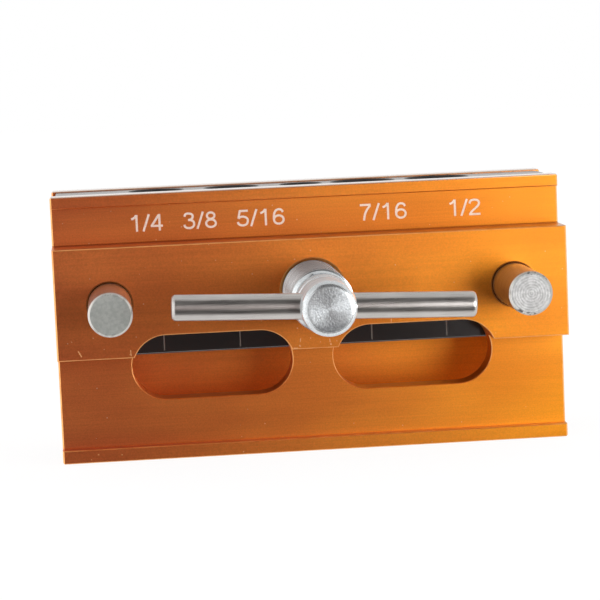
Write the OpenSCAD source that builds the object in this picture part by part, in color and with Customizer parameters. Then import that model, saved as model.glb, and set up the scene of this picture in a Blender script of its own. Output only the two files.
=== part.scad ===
// Self-centering doweling jig: two jaws driven apart and together by one screw
// with a left-hand and a right-hand thread, sliding on two rods that are fixed
// in a block with four drill guides. Millimetres, X along the jaws, Y away from
// the handle, Z up, standing on the lower edges of the jaws.

/* [Jaws] */
// Length of each jaw
jaw_l = 152.4; // [140:0.2:200]
// Height of each jaw
jaw_h = 79.4; // [74:0.2:100]
// Thickness behind the size numbers
label_t = 5.8; // [4:0.1:8]
// How far the top lip stands in front of the size numbers
lip_proud = 1.2; // [0.8:0.1:2]
// Height of the top lip
lip_h = 3.6; // [2:0.1:6]
// Thickness of the thick band that carries the rods and the screw
band_t = 18.2; // [14:0.1:24]
// Height of the recess that carries the size numbers
label_h = 11.2; // [8:0.1:13]
// Height of the thick band
band_h = 32.8; // [30:0.1:38]
// Thickness of the gripping flange
flange_t = 8; // [5:0.1:10]
// How far the foot stands in front of the gripping flange
foot_proud = 3.4; // [1:0.1:5]
// Height of the foot
foot_h = 4; // [2:0.1:8]
// Chamfer along the long edges
edge_break = 0.25; // [0.15:0.05:0.5]
// Chamfer round the sawn ends
end_break = 0.45; // [0.3:0.05:1]

/* [Sight windows] */
// Length of a window
window_l = 48.2; // [36:0.1:50]
// Height of a window
window_h = 20.5; // [12:0.1:22]
// Distance from the screw to a window's centre, as a share of the jaw's length
window_place = 0.19816; // [0.19:0.0001:0.22]
// How far a window's centre lies below the thick band's lower edge
window_below = 3.95; // [2:0.05:6]
// Chamfer round a window
window_break = 0.25; // [0.15:0.05:0.8]

/* [Centre block] */
// How far the block stops short of the jaw at each end
block_short = 1.5; // [0.5:0.1:8]
// Thickness of the block, and least thickness of wood that the jaws close on
block_t = 22.2; // [21.5:0.1:30]
// Height of the block
block_h = 48.7; // [46:0.1:56]
// How far the block's top lies below the tops of the jaws
block_drop = 0.4; // [0.1:0.1:2]
// Chamfer along the block's edges
block_break = 0.5; // [0.2:0.05:1]
// Gap between the block and each jaw when the jig is closed
closed_gap = 0.1; // [0.1:0.05:1]

/* [Guide holes] */
// Thread diameter of the two holes for small bushings
small_hole_d = 16; // [14:0.1:17]
// Thread diameter of the two holes for large bushings
large_hole_d = 19; // [17:0.1:19.5]
// Distance of the outer small hole from the screw, as a share of the jaw's length
small_outer_place = 0.29003; // [0.28:0.0001:0.295]
// Distance of the inner small hole from the screw, as a share of the jaw's length
small_inner_place = 0.13911; // [0.13:0.0001:0.15]
// Distance of the inner large hole from the screw, as a share of the jaw's length
large_inner_place = 0.12467; // [0.12:0.0001:0.13]
// Distance of the outer large hole from the screw, as a share of the jaw's length
large_outer_place = 0.27559; // [0.27:0.0001:0.28]
// Depth of the threaded part of each hole
guide_depth = 19; // [14:0.1:19.5]
// How much wider than the drill the hole below each bushing is
drill_relief = 1; // [0.4:0.1:2]
// Chamfer at the mouth of each hole
mouth_break = 0.6; // [0.2:0.1:1]
// Width of the witness lines on the front of the block
witness_w = 0.4; // [0.2:0.05:0.8]
// Depth of the witness lines
witness_d = 0.2; // [0.1:0.05:0.4]
// Distance from the block's lower edge to the lower end of each witness line
witness_rise = 0.9; // [0.5:0.1:3]
// Length of the witness lines
witness_l = 22; // [10:0.5:40]

/* [Drill bushings] */
// Bore of the small bushings, for a 3/8 inch drill
small_bore_d = 9.6; // [6:0.05:10]
// Bore of the large bushings, for a 1/2 inch drill
large_bore_d = 12.8; // [10:0.05:13]
// Length of each bushing
bushing_l = 17; // [10:0.1:18]
// Width of the screwdriver slot across a bushing
slot_w = 2; // [1:0.1:3]
// Depth of the screwdriver slot
slot_d = 2; // [1:0.1:3]

/* [Guide rods] */
// Diameter of each rod
rod_d = 12.7; // [10:0.1:13.5]
// Length of each rod
rod_l = 114.3; // [104:0.1:130]
// Distance from the screw to each rod's axis, as a share of the jaw's length
rod_place = 0.3937; // [0.389:0.0001:0.42]
// How far the rods' axes lie below the screw's axis
rod_below = 1.1; // [0:0.1:2]
// Chamfer at the ends of the rods
rod_break = 0.6; // [0.3:0.1:1.2]
// Chamfer at the mouths of the rods' holes in the jaws
rod_mouth = 0.4; // [0.2:0.1:0.8]
// Diameter of the two grub screws that hold the rods in the block
grub_d = 6; // [4:0.1:8]
// Length of the grub screws
grub_l = 8; // [5:0.1:9]

/* [Screw and handle] */
// Outer diameter of both threads
screw_d = 18; // [15:0.1:18]
// Countersink at the mouths of the threaded holes in the jaws
thread_mouth = 0.9; // [0.4:0.1:1.5]
// How far the screw's axis lies below the top of the block
screw_below = 30; // [29.5:0.1:31]
// How far the thread stands out of the front jaw when closed
thread_front = 30.3; // [22:0.1:40]
// How far the thread stands out of the rear jaw when closed
thread_rear = 25; // [22:0.1:27]
// Diameter of the collar behind the head
collar_d = 15.9; // [15:0.1:16]
// Length of the collar
collar_l = 5.2; // [3:0.1:8]
// Diameter of the head
head_d = 15.6; // [12:0.1:15.8]
// Length of the head
head_l = 14.5; // [13:0.1:20]
// Radius of the rounded front edge of the head
head_r = 2.1; // [1:0.1:3]
// Width of the undercut between the thread and the collar
undercut_w = 1; // [0.5:0.1:2]
// Depth of the undercut below the collar
undercut_d = 0.7; // [0.3:0.1:1.5]
// Diameter of the handle bar
bar_d = 7.3; // [6:0.1:8]
// Length of the handle bar
bar_l = 85; // [60:0.5:98]
// Distance from the face of the head to the bar's axis
bar_back = 9.2; // [7:0.1:9.5]
// How far the bar was pressed in off centre, towards the left
bar_shift = 0.65; // [0:0.05:3]
// Radius of the rounded ends of the bar
bar_r = 1.2; // [0.5:0.1:2]
// Angle by which the right end of the bar hangs down
bar_turn = 2.2; // [0:0.1:45]
// Diameter of the dog-point screw that holds the main screw endways
dog_screw_d = 12.3; // [10:0.1:12.5]
// Diameter of its dog point
dog_d = 6; // [4:0.1:7]
// Depth of the groove that the dog point runs in
groove_d = 3; // [1.5:0.1:4]
// How far the dog-point screw sits below the block's top
dog_sunk = 3; // [1:0.1:6]

/* [Fits] */
// Radial clearance of a part that runs or slides in a hole
running_clear = 0.05; // [0.02:0.01:0.1]
// Radial clearance of a part that is fixed in a hole
fixed_clear = 0.02; // [0.01:0.01:0.05]
// Clearance at the end of a part that stops short of another
end_clear = 0.3; // [0.1:0.05:0.5]

/* [Hidden] */
$fn = 96;
// Thickness of the jaw at the lip and at the foot, and the top of its thick band
lip_t = label_t + lip_proud;
foot_t = flange_t + foot_proud;
band_top = jaw_h - lip_h - label_h;
band_low = band_top - band_h;
// Distances from the middle plane of the jig, where the wood's centre comes
inner_y = block_t / 2 + closed_gap;
band_y = inner_y + band_t;
thread_front_y = band_y + thread_front;
collar_y = thread_front_y + undercut_w;
neck_y = collar_y + collar_l;
face_y = neck_y + head_l;
bar_y = face_y - bar_back;
thread_rear_y = band_y + thread_rear;
rod_y = rod_l / 2;
// The origin lies under the middle of the whole jig, so the middle plane is here
mid_y = (face_y - max(rod_y, thread_rear_y)) / 2;
// Levels of the block
block_top = jaw_h - block_drop;
block_low = block_top - block_h;
shoulder_z = block_top - guide_depth;
screw_z = block_top - screw_below;
rod_z = screw_z - rod_below;
window_z = band_low - window_below;
// Distances from the screw along the jaws
window_x = jaw_l * window_place;
rod_x = jaw_l * rod_place;
small_outer_x = jaw_l * small_outer_place;
small_inner_x = jaw_l * small_inner_place;
large_inner_x = jaw_l * large_inner_place;
large_outer_x = jaw_l * large_outer_place;
block_l = jaw_l - 2 * block_short;
// Chamfer at the ends of the threads and how far a cut runs past a face
thread_break = 1;
past = 1;
// Hex sockets, across flats and deep
dog_hex = 6;
dog_hex_deep = 7;
grub_hex = 3;
grub_hex_deep = 3;

// Outline with every outer corner cut back by c, for the eased edges of an
// extrusion; inner corners stay sharp. The points run anticlockwise.
function eased(p, c) = [
  for (i = [0 : len(p) - 1])
    let (
      a = p[(i + len(p) - 1) % len(p)],
      b = p[i],
      d = p[(i + 1) % len(p)],
      turn = (b[0] - a[0]) * (d[1] - b[1]) - (b[1] - a[1]) * (d[0] - b[0])
    )
    each (turn > 0)
      ? [b + c * (a - b) / norm(a - b), b + c * (d - b) / norm(d - b)]
      : [b]
];

// Quarter round of radius r from the outer radius to the end face
function rounded_end(radius, end, r) = [
  for (a = [0 : 15 : 90])
    [radius - r + r * cos(a), end - r + r * sin(a)]
];

// The same for the other end, which lies at -end
function rounded_start(radius, end, r) = [
  for (a = [90 : -15 : 0])
    [radius - r + r * cos(a), r - end - r * sin(a)]
];

// Extrudes an outline of [y, z] points along X
module along_x(length) {
  rotate([90, 0, 90]) linear_extrude(height = length, center = true) children();
}

// Turned part on an axis that points to the handle side, at height z
module turned(z, points) {
  translate([0, mid_y, z]) rotate([90, 0, 0]) rotate_extrude() polygon(points);
}

// Round cut along Y from y0 to y1
module bore_y(x, z, r, y0, y1) {
  translate([x, y0, z]) rotate([-90, 0, 0]) cylinder(h = y1 - y0, r = r);
}

// Cone along Y, r0 at y0 and r1 at y1
module cone_y(x, z, y0, r0, y1, r1) {
  translate([x, y0, z]) rotate([-90, 0, 0]) cylinder(h = y1 - y0, r1 = r0, r2 = r1);
}

// Bore with chamfered mouths through the thick band of a jaw
module jaw_bore(x, z, r, c) {
  bore_y(x, z, r, -band_t - past, past);
  cone_y(x, z, -band_t - past, r + c + past, -band_t + c, r);
  cone_y(x, z, -c, r, past, r + c + past);
}

// Slot with round ends, seen from the front, from y0 to y1
module window_slot(x, y0, y1) {
  half = (window_l - window_h) / 2;
  for (side = [-1, 1]) bore_y(x + side * half, window_z, window_h / 2, y0, y1);
  translate([x - half, y0, window_z - window_h / 2]) cube([2 * half, y1 - y0, window_h]);
}

// Chamfer of the slot's edge, widest at y0 and as wide as the slot at y1
module window_flare(x, y0, y1) {
  half = (window_l - window_h) / 2;
  r = window_h / 2;
  wide = r + abs(y1 - y0);
  low = min(y0, y1);
  high = max(y0, y1);
  r_low = (low == y0) ? wide : r;
  r_high = (low == y0) ? r : wide;
  for (side = [-1, 1]) cone_y(x + side * half, window_z, low, r_low, high, r_high);
  translate([x, 0, window_z]) along_x(2 * half)
    polygon([[low, -r_low], [high, -r_high], [high, r_high], [low, r_low]]);
}

// Wedge that breaks the upright edge at one end of a face t thick, z0 to z1
module end_wedge(side, t, z0, z1) {
  x = jaw_l / 2;
  c = end_break;
  translate([0, 0, z0]) linear_extrude(height = z1 - z0)
    polygon([[side * (x - c - past), -t - past], [side * (x + past), -t - past],
      [side * (x + past), -t + c + past]]);
}

// One jaw as extruded, sawn, deburred and bored: gripping face at Y = 0, the
// rest towards the handle
module jaw_blank() {
  outline = [[0, 0], [0, jaw_h], [-lip_t, jaw_h], [-lip_t, jaw_h - lip_h], [-label_t, jaw_h - lip_h],
    [-label_t, band_top], [-band_t, band_top], [-band_t, band_low], [-flange_t, band_low],
    [-flange_t, foot_h], [-foot_t, foot_h], [-foot_t, 0]];
  faces = [[lip_t, jaw_h - lip_h, jaw_h + past], [label_t, band_top, jaw_h - lip_h],
    [band_t, band_low, band_top], [flange_t, foot_h, band_low], [foot_t, -past, foot_h]];
  side_view = [[-jaw_l / 2, 0], [jaw_l / 2, 0], [jaw_l / 2, jaw_h], [-jaw_l / 2, jaw_h]];
  difference() {
    intersection() {
      along_x(jaw_l) polygon(eased(outline, edge_break));
      translate([0, past, 0]) rotate([90, 0, 0]) linear_extrude(height = band_t + 2 * past)
        polygon(eased(side_view, end_break));
    }
    for (side = [-1, 1]) {
      for (f = faces) end_wedge(side, f[0], f[1], f[2]);
      mirror([0, 1, 0]) end_wedge(side, 0, -past, jaw_h + past);
      jaw_bore(side * rod_x, rod_z, rod_d / 2 + running_clear, rod_mouth);
    }
    jaw_bore(0, screw_z, screw_d / 2 + running_clear, thread_mouth);
  }
}

module front_jaw() {
  color("darkorange") translate([0, mid_y - inner_y, 0]) difference() {
    jaw_blank();
    for (x = [-window_x, window_x]) {
      window_slot(x, -band_t - past, past);
      window_flare(x, -band_t - window_break, -band_t + window_break);
      window_flare(x, window_break, -window_break);
      intersection() {
        window_flare(x, -flange_t - window_break, -flange_t + window_break);
        translate([x - window_l, -band_t, 0]) cube([2 * window_l, band_t, band_low]);
      }
    }
  }
}

module rear_jaw() {
  color("darkorange") translate([0, mid_y + inner_y, 0]) mirror([0, 1, 0]) jaw_blank();
}

// Stepped hole: thread for a bushing at the top, drill clearance below
module guide_hole(x, hole_d, bore_d) {
  r = hole_d / 2;
  translate([x, mid_y, 0]) {
    translate([0, 0, shoulder_z]) cylinder(h = guide_depth + past, r = r);
    translate([0, 0, block_low - past]) cylinder(h = block_h + past, r = (bore_d + drill_relief) / 2);
    translate([0, 0, block_top - mouth_break])
      cylinder(h = mouth_break + past, r1 = r, r2 = r + mouth_break + past);
  }
}

// Groove that marks a guide hole's centre on the front of the block
module witness_line(x) {
  translate([x - witness_w / 2, mid_y - block_t / 2 - past, block_low + witness_rise])
    cube([witness_w, witness_d + past, witness_l]);
}

module centre_block() {
  end_view = [[-block_t / 2, block_low], [block_t / 2, block_low],
    [block_t / 2, block_top], [-block_t / 2, block_top]];
  top_view = [[-block_l / 2, -block_t / 2], [block_l / 2, -block_t / 2],
    [block_l / 2, block_t / 2], [-block_l / 2, block_t / 2]];
  color("dimgray") difference() {
    intersection() {
      translate([0, mid_y, 0]) along_x(block_l) polygon(eased(end_view, block_break));
      translate([0, mid_y, block_low]) linear_extrude(height = block_h)
        polygon(eased(top_view, block_break));
    }
    for (x = [-small_outer_x, -small_inner_x]) guide_hole(x, small_hole_d, small_bore_d);
    for (x = [large_inner_x, large_outer_x]) guide_hole(x, large_hole_d, large_bore_d);
    for (x = [-small_outer_x, -small_inner_x, large_inner_x, large_outer_x]) witness_line(x);
    bore_y(0, screw_z, screw_d / 2 + running_clear, mid_y - block_t, mid_y + block_t);
    translate([0, mid_y, screw_z])
      cylinder(h = block_top - screw_z + past, r = dog_screw_d / 2 + fixed_clear);
    translate([0, mid_y, block_top - mouth_break])
      cylinder(h = mouth_break + past, r1 = dog_screw_d / 2, r2 = dog_screw_d / 2 + mouth_break + past);
    for (x = [-rod_x, rod_x]) {
      bore_y(x, rod_z, rod_d / 2 + fixed_clear, mid_y - block_t, mid_y + block_t);
      translate([x, mid_y, block_low - past])
        cylinder(h = rod_z - block_low + past, r = grub_d / 2 + fixed_clear);
    }
  }
}

module guide_rod(x) {
  r = rod_d / 2;
  color("silver") translate([x, 0, 0]) turned(rod_z,
    [[0, -rod_y], [r - rod_break, -rod_y], [r, rod_break - rod_y],
      [r, rod_y - rod_break], [r - rod_break, rod_y], [0, rod_y]]);
}

// Hardened drill bushing that screws down onto the shoulder of its hole
module bushing(x, hole_d, bore_d) {
  outer = hole_d / 2 - fixed_clear;
  inner = bore_d / 2;
  lead = (outer - inner) / 3;
  color("gray") translate([x, mid_y, shoulder_z]) difference() {
    rotate_extrude() polygon([[inner, 0], [outer - lead / 2, 0], [outer, lead / 2],
      [outer, bushing_l - lead / 2], [outer - lead / 2, bushing_l],
      [inner + lead, bushing_l], [inner, bushing_l - lead]]);
    translate([-outer - past, -slot_w / 2, bushing_l - slot_d])
      cube([2 * (outer + past), slot_w, slot_d + past]);
  }
}

// Set screw that drops into the groove of the main screw from the block's top
module dog_point_screw() {
  body = dog_screw_d / 2;
  tip = dog_d / 2;
  low = screw_z + screw_d / 2 - groove_d + end_clear;
  step = screw_z + screw_d / 2 + end_clear;
  high = block_top - dog_sunk;
  color("dimgray") translate([0, mid_y, 0]) difference() {
    rotate_extrude() polygon([[0, low], [tip - end_clear, low], [tip, low + end_clear], [tip, step],
      [body - thread_break, step], [body, step + thread_break],
      [body, high - thread_break], [body - thread_break, high], [0, high]]);
    translate([0, 0, high - dog_hex_deep])
      cylinder(h = dog_hex_deep + past, d = dog_hex / cos(30), $fn = 6);
  }
}

// Grub screw that bears on a rod from below, inside the block
module rod_grub_screw(x) {
  r = grub_d / 2;
  high = rod_z - rod_d / 2 - fixed_clear;
  low = high - grub_l;
  cut = r / 3;
  color("dimgray") translate([x, mid_y, 0]) difference() {
    rotate_extrude() polygon([[0, low], [r - cut, low], [r, low + cut],
      [r, high - cut], [r - cut, high], [0, high]]);
    translate([0, 0, low - past])
      cylinder(h = grub_hex_deep + past, d = grub_hex / cos(30), $fn = 6);
  }
}

// Main screw, one turned piece: rear thread, grooved middle, front thread,
// undercut, collar and rounded head with the cross hole for the bar
module lead_screw() {
  r = screw_d / 2;
  groove = dog_d / 2 + running_clear;
  collar = collar_d / 2;
  head = head_d / 2;
  color("lightgray") difference() {
    turned(screw_z, concat(
      [[0, -thread_rear_y], [r - thread_break, -thread_rear_y], [r, thread_break - thread_rear_y],
        [r, -groove], [r - groove_d, -groove], [r - groove_d, groove], [r, groove],
        [r, thread_front_y - thread_break], [r - thread_break, thread_front_y],
        [collar - undercut_d, thread_front_y], [collar - undercut_d, collar_y], [collar, collar_y],
        [collar, neck_y - (collar - head)], [head, neck_y]],
      rounded_end(head, face_y, head_r),
      [[0, face_y]]));
    translate([0, mid_y - bar_y, screw_z]) rotate([0, bar_turn, 0]) rotate([0, 90, 0])
      cylinder(h = 2 * screw_d, r = bar_d / 2 + fixed_clear, center = true);
  }
}

module handle_bar() {
  r = bar_d / 2;
  half = bar_l / 2;
  color("silver") translate([0, mid_y - bar_y, screw_z]) rotate([0, bar_turn, 0]) rotate([0, 90, 0])
    translate([0, 0, -bar_shift]) rotate_extrude() polygon(concat(
      [[0, -half]],
      rounded_start(r, half, bar_r),
      rounded_end(r, half, bar_r),
      [[0, half]]));
}

centre_block();
guide_rod(-rod_x);  // guide_rod_left
guide_rod(rod_x);  // guide_rod_right
bushing(-small_outer_x, small_hole_d, small_bore_d);  // bushing_small_outer
bushing(-small_inner_x, small_hole_d, small_bore_d);  // bushing_small_inner
bushing(large_inner_x, large_hole_d, large_bore_d);  // bushing_large_inner
bushing(large_outer_x, large_hole_d, large_bore_d);  // bushing_large_outer
dog_point_screw();
rod_grub_screw(-rod_x);  // rod_grub_screw_left
rod_grub_screw(rod_x);  // rod_grub_screw_right
front_jaw();
rear_jaw();
lead_screw();
handle_bar();
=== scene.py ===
# Self-centering doweling jig: finishes, cut threads, engraved sizes, camera and light
import math
import bpy
import numpy as np
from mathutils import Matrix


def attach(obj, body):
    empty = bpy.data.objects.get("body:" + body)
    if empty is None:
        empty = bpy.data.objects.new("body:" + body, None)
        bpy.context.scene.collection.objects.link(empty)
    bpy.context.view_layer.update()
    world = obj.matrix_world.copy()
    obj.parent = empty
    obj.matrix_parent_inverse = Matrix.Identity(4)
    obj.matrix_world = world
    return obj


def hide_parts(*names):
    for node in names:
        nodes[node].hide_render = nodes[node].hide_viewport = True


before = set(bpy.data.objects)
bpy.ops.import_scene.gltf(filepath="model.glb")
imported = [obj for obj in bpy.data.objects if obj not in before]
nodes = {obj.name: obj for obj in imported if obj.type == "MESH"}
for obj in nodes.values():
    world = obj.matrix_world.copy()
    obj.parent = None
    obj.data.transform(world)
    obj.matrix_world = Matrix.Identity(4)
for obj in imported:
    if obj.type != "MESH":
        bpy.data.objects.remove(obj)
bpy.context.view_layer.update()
mm = 0.001
print("frame loaded,", len(nodes), "nodes")

# sizes that the source gives too, in mm
jig = {
    "halfLength": 76.2,
    "middleY": 11.625,      # middle plane of the block
    "screwHeight": 49.0,
    "rodHeight": 47.9,
    "rodX": 60.0,
    "labelY": -5.375,       # front of the recessed band with the sizes
    "bandY": -17.775,       # front of the thick band
    "flangeY": -7.575,
    "footY": -10.975,
    "blockFrontY": 0.525,
}
screw = {
    "crest": 9.0,
    "root": 7.95,
    "pitch": 2.0,
    "crestShare": 0.36,       # of the pitch
    "flankShare": 0.2,
    "frontEnd": 59.7,         # from the middle plane towards the handle
    "rearEnd": 54.4,
    "start": 3.05,            # half the groove's width
    "chamfer": 1.0,
    "grooveRadius": 6.0,
    "centreMark": 1.2,        # radius and depth of the centre drilled in the rear end
    "undercutRadius": 7.25,
    "undercutEnd": 60.7,
    "collarRadius": 7.95,
    "collarBreak": 0.25,
    "collarSlope": 0.4,
    "collarEnd": 65.9,
    "neckFlat": 0.35,         # narrow step between collar and head
    "neckSlope": 0.7,
    "headRadius": 7.8,
    "faceAt": 80.4,
    "rimRadius": 2.1,
    "rimStep": 7.5,           # degrees
    "faceRings": (4.5, 3.0, 1.5, 0.0),
    "turnSteps": 96,
}


# camera, fitted to the edges in the photo
cameraView = {
    "place": (-59.547, -701.437, 121.804),    # mm
    "turn": (83.7229, 2.4363, -4.9115),       # degrees
    "lens": 140.216,
    "sensor": 36.0,
}
cameraData = bpy.data.cameras.new("photoCamera")
cameraData.lens = cameraView["lens"]
cameraData.sensor_width = cameraView["sensor"]
cameraData.clip_start = 0.01
cameraData.clip_end = 20
camera = bpy.data.objects.new("photoCamera", cameraData)
camera.location = [v * mm for v in cameraView["place"]]
camera.rotation_euler = [math.radians(v) for v in cameraView["turn"]]
bpy.context.scene.collection.objects.link(camera)
bpy.context.scene.camera = camera
bpy.context.scene.view_settings.view_transform = "Standard"


def linear(code):
    # sRGB hex to linear RGBA
    values = [int(code[i:i + 2], 16) / 255 for i in (1, 3, 5)]
    return [v / 12.92 if v <= 0.04045 else ((v + 0.055) / 1.055) ** 2.4 for v in values] + [1.0]


def perMm(width):
    # texture scale for a feature of that many millimetres, on coordinates in metres
    return 1 / (width * mm)


def reading(pair):
    # the two ends of what a MapRange node reads
    return {"in1": pair[0], "in2": pair[1]}


def readingMm(pair):
    return {"in1": pair[0] * mm, "in2": pair[1] * mm}


def giving(pair):
    # and of what it gives
    return {"in3": pair[0], "in4": pair[1]}


def addNode(tree, kind, settings=None, **inputs):
    # one shader node with its properties, then its inputs as numbers, colours or another node's output;
    # an input is named in camelCase, or in0, in1 and so on by its place
    node = tree.nodes.new("ShaderNode" + kind)
    for name, value in (settings or {}).items():
        setattr(node, name, value)
    plain = {s.name.replace(" ", "").lower(): s for s in reversed(node.inputs) if s.enabled}
    for name, value in inputs.items():
        socket = node.inputs[int(name[2:])] if name[2:].isdigit() else plain[name.lower()]
        if isinstance(value, bpy.types.Node):
            value = next(s for s in value.outputs if s.enabled)
        if isinstance(value, bpy.types.NodeSocket):
            tree.links.new(value, socket)
        else:
            socket.default_value = value
    return node


smoothRange = {"interpolation_type": "SMOOTHSTEP"}
colourMix = {"data_type": "RGBA"}
times = {"operation": "MULTIPLY"}
plus = {"operation": "ADD"}
absolute = {"operation": "ABSOLUTE"}
larger = {"operation": "MAXIMUM"}
over = {"operation": "GREATER_THAN"}
under = {"operation": "LESS_THAN"}
near = {"operation": "COMPARE"}
length = {"operation": "LENGTH"}
dotProduct = {"operation": "DOT_PRODUCT"}
# most values of a noise lie in these
wideNoise = reading((0.3, 0.7))
midNoise = reading((0.35, 0.65))
falling = giving((1.0, 0.0))


def startMaterial(name):
    # empty material, with the place on the piece in metres and the piece's own normal
    material = bpy.data.materials.new(name)
    material.use_nodes = True
    tree = material.node_tree
    tree.nodes.clear()
    place = addNode(tree, "TexCoord")
    return material, tree, place.outputs["Object"], place.outputs["Normal"]


def endMaterial(tree, **inputs):
    addNode(tree, "OutputMaterial", surface=addNode(tree, "BsdfPrincipled", **inputs))


orangeAnodise = {
    "light": "#ea882b",       # dyed oxide over bright aluminium
    "deep": "#da7726",
    "cloudMm": 16.0,          # the two dyes lie in long clouds
    "cloudStretch": 3,
    "drawLineMm": 0.5,        # extrusion lines
    "lineStretch": 60,
    "lineShare": 0.3,         # of the unevenness, and the rest is the grain's
    "grainMm": 0.45,          # etched grain, drawn coarser than real so that it shows
    "value": (0.91, 1.09),
    "hueDrift": (0.489, 0.511),       # painted light: redder at the shaded left end and more golden at the brightly lit right end
    "saturationDrift": (0.95, 1.01),
    "edge": "#ffc078",        # painted highlight on the broken edges
    "wearMm": 3.0,
    "edgeWear": (0.6, 0.95),
    "topEdge": "#d9c3b4",     # pale painted highlight along the top
    "topWear": 0.75,
    "wornAbove": 79.16,
    "grime": "#6b2c0c",       # painted shade in the corner above the ledge and in the mouths of the rod holes
    "grimeStrength": 0.6,
    "outerFrom": 0.01,        # least distance from the middle plane, in metres, of an outer face
    "ledgeHeight": 64.6,
    "cornerLine": 0.35,       # height of the painted shade line above the ledge
    "mouthRing": (6.35, 6.95),        # radii of the painted shade in the rod mouths
    "speck": "#f0c090",
    "speckCellMm": 2.5,
    "speckShare": 0.085,      # of a cell, the largest speck's radius
    "speckFrom": 0.6,         # a cell whose random number is above this has a speck
    "speckStrength": 0.75,
    "metallic": 0.97,
    "roughness": (0.38, 0.47),        # matt etched before dyeing
    "milledAbove": 79.0,
    "milledSmoother": 0.2,    # the milled top edge is less rough and glares at a grazing angle
    "sealWeight": 0.06,       # clear sealed skin
    "sealUp": 0.5,            # on faces that look up
    "sealRoughness": 0.15,
    "sealIor": 1.76,
    "relief": 0.25,
    "reliefMm": 0.02,
}


def dyedColour(tree, place, acrossX, grain):
    # two close dyes in long clouds, faint lines along the extrusion, the grain, and a painted drift of hue,
    # redder at the shaded left end and more golden at the lit right end
    o = orangeAnodise
    longPlace = addNode(tree, "Mapping", in0=place, in3=[1 / o["cloudStretch"], 1, 1])
    cloud = addNode(tree, "TexNoise", in0=longPlace, scale=perMm(o["cloudMm"]))
    linePlace = addNode(tree, "Mapping", in0=place, in3=[1 / o["lineStretch"], 1, 1])
    lines = addNode(tree, "TexNoise", in0=linePlace, scale=perMm(o["drawLineMm"]), detail=1.0)
    cloudShare = addNode(tree, "MapRange", smoothRange, in0=cloud, **wideNoise)
    dye = addNode(tree, "Mix", colourMix, in0=cloudShare, in6=linear(o["deep"]), in7=linear(o["light"]))
    lineShare = addNode(tree, "Math", times, in0=lines, in1=o["lineShare"])
    grainShare = addNode(tree, "Math", times, in0=grain, in1=1 - o["lineShare"])
    both = addNode(tree, "Math", plus, in0=lineShare, in1=grainShare)
    value = addNode(tree, "MapRange", in0=both, **midNoise, **giving(o["value"]))
    ends = readingMm((-jig["halfLength"], jig["halfLength"]))
    # painted light: hue and saturation drift from the shaded left end to the lit right end
    hue = addNode(tree, "MapRange", in0=acrossX, **ends, **giving(o["hueDrift"]))
    saturation = addNode(tree, "MapRange", in0=acrossX, **ends, **giving(o["saturationDrift"]))
    return addNode(tree, "HueSaturation", color=dye, hue=hue, saturation=saturation, value=value)


def highlightedColour(tree, place, facing, upZ, dyed):
    # painted highlight on the chamfers, which are told by their slanting normal, in patches, and a pale
    # painted highlight along the top
    o = orangeAnodise
    slants = addNode(tree, "MapRange", smoothRange, in0=facing, **reading((0.3, 0.6)))
    notFlat = addNode(tree, "MapRange", smoothRange, in0=facing, **reading((0.85, 0.97)), **falling)
    edge = addNode(tree, "Math", times, in0=slants, in1=notFlat)
    patches = addNode(tree, "TexNoise", in0=place, scale=perMm(o["wearMm"]))
    # patches in which the painted chamfer highlight is stronger or weaker
    worn = addNode(tree, "MapRange", smoothRange, in0=patches, **reading((0.3, 0.6)), **giving(o["edgeWear"]))
    chamferHighlightShare = addNode(tree, "Math", times, in0=edge, in1=worn)
    chamferHighlighted = addNode(tree, "Mix", colourMix, in0=chamferHighlightShare, in6=dyed, in7=linear(o["edge"]))
    # painted highlight on the top faces
    onTop = addNode(tree, "Math", over, in0=upZ, in1=o["wornAbove"] * mm)
    topShare = addNode(tree, "Math", times, in0=onTop, in1=o["topWear"])
    return addNode(tree, "Mix", colourMix, in0=topShare, in6=chamferHighlighted, in7=linear(o["topEdge"]))


def paintedShadeColour(tree, placeParts, normalY, worn):
    # painted shade: a dark line in the corner above the ledge, on outer faces only, and dark mouths round the
    # rods, where shade falls
    o = orangeAnodise
    acrossX, alongY, upZ = placeParts.outputs
    fromMiddle = addNode(tree, "Math", plus, in0=alongY, in1=-jig["middleY"] * mm)
    outwards = addNode(tree, "Math", times, in0=normalY, in1=fromMiddle)
    outerFace = addNode(tree, "Math", over, in0=outwards, in1=o["outerFrom"])
    half = o["cornerLine"] / 2
    inCorner = addNode(tree, "Math", near, in0=upZ, in1=(o["ledgeHeight"] + half) * mm, in2=half * mm)
    cornerShade = addNode(tree, "Math", times, in0=outerFace, in1=inCorner)
    fromScrew = addNode(tree, "Math", absolute, in0=acrossX)
    toRod = addNode(tree, "Math", plus, in0=fromScrew, in1=-jig["rodX"] * mm)
    aboveRod = addNode(tree, "Math", plus, in0=upZ, in1=-jig["rodHeight"] * mm)
    rodPlace = addNode(tree, "CombineXYZ", in0=toRod, in2=aboveRod)
    rodRadius = addNode(tree, "VectorMath", length, in0=rodPlace).outputs["Value"]
    inner, outer = o["mouthRing"]
    middle, reach = (inner + outer) / 2 * mm, (outer - inner) / 2 * mm
    mouth = addNode(tree, "Math", near, in0=rodRadius, in1=middle, in2=reach)
    shadeMask = addNode(tree, "Math", larger, in0=cornerShade, in1=mouth)
    shadeShare = addNode(tree, "Math", times, in0=shadeMask, in1=o["grimeStrength"])
    return addNode(tree, "Mix", colourMix, in0=shadeShare, in6=worn, in7=linear(o["grime"]))


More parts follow.
